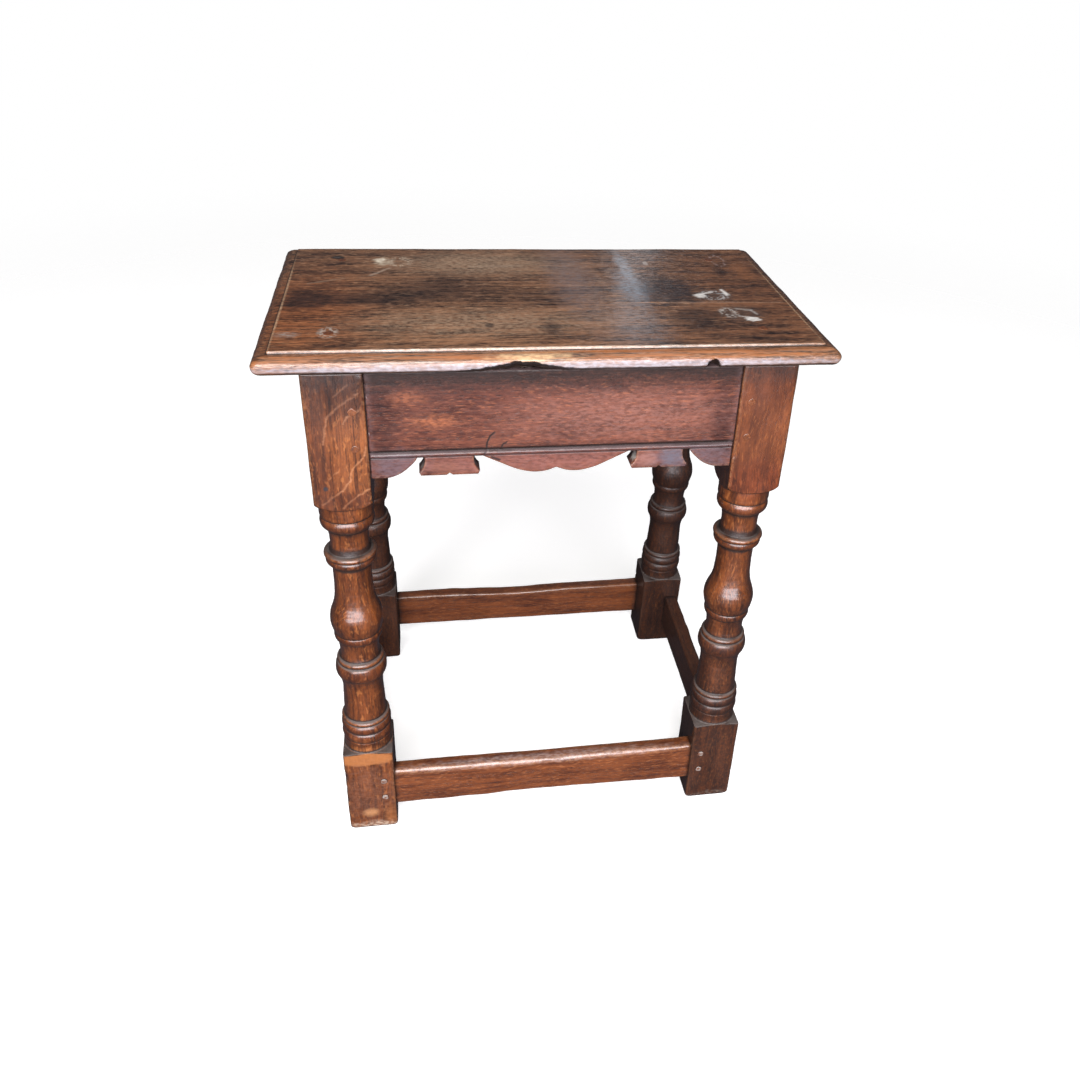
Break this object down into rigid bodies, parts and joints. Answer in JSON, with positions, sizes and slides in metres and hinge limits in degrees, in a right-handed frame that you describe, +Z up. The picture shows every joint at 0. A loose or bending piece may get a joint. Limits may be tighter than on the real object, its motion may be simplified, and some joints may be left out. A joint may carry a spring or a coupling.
{
  "type": "joint stool",
  "caption": "Oak joint stool: a moulded oblong board pegged down on turned legs that rake outwards, joined by a fretted frieze and low box stretchers.",
  "frame": {"origin": "on the floor, below the middle of the board", "axes": "+X along the length of the board, to the right as seen from the front; +Y across it, from the front to the back, the way the legs rake; +Z up"},
  "size_m": [0.49, 0.3168, 0.54],
  "materials": {
    "oak_board": "old waxed oak, dark brown with grey and black stains, satin",
    "oak_legs": "old waxed oak, warm reddish brown with orange rays, satin",
    "oak_rails": "old waxed oak, purplish red-brown, dusty in the quirks, satin",
    "oak_stretchers": "old waxed oak, red-brown, scuffed along its upper arrises, satin",
    "oak_pegs": "riven oak end grain, darkened with wax"
  },
  "bodies": {
    "root": {"top_board": "oak_board", "top_pegs": "oak_pegs", "leg_front_left": "oak_legs", "leg_back_left": "oak_legs", "leg_front_right": "oak_legs", "leg_back_right": "oak_legs", "frieze_pegs_front_left": "oak_pegs", "frieze_pegs_back_left": "oak_pegs", "frieze_pegs_front_right": "oak_pegs", "frieze_pegs_back_right": "oak_pegs", "stretcher_pegs_front_left": "oak_pegs", "stretcher_pegs_back_left": "oak_pegs", "stretcher_pegs_front_right": "oak_pegs", "stretcher_pegs_back_right": "oak_pegs", "frieze_rail_front": "oak_rails", "frieze_rail_back": "oak_rails", "frieze_rail_left": "oak_rails", "frieze_rail_right": "oak_rails", "stretcher_front": "oak_stretchers", "stretcher_back": "oak_stretchers", "stretcher_left": "oak_stretchers", "stretcher_right": "oak_stretchers"}
  },
  "joints": []
}
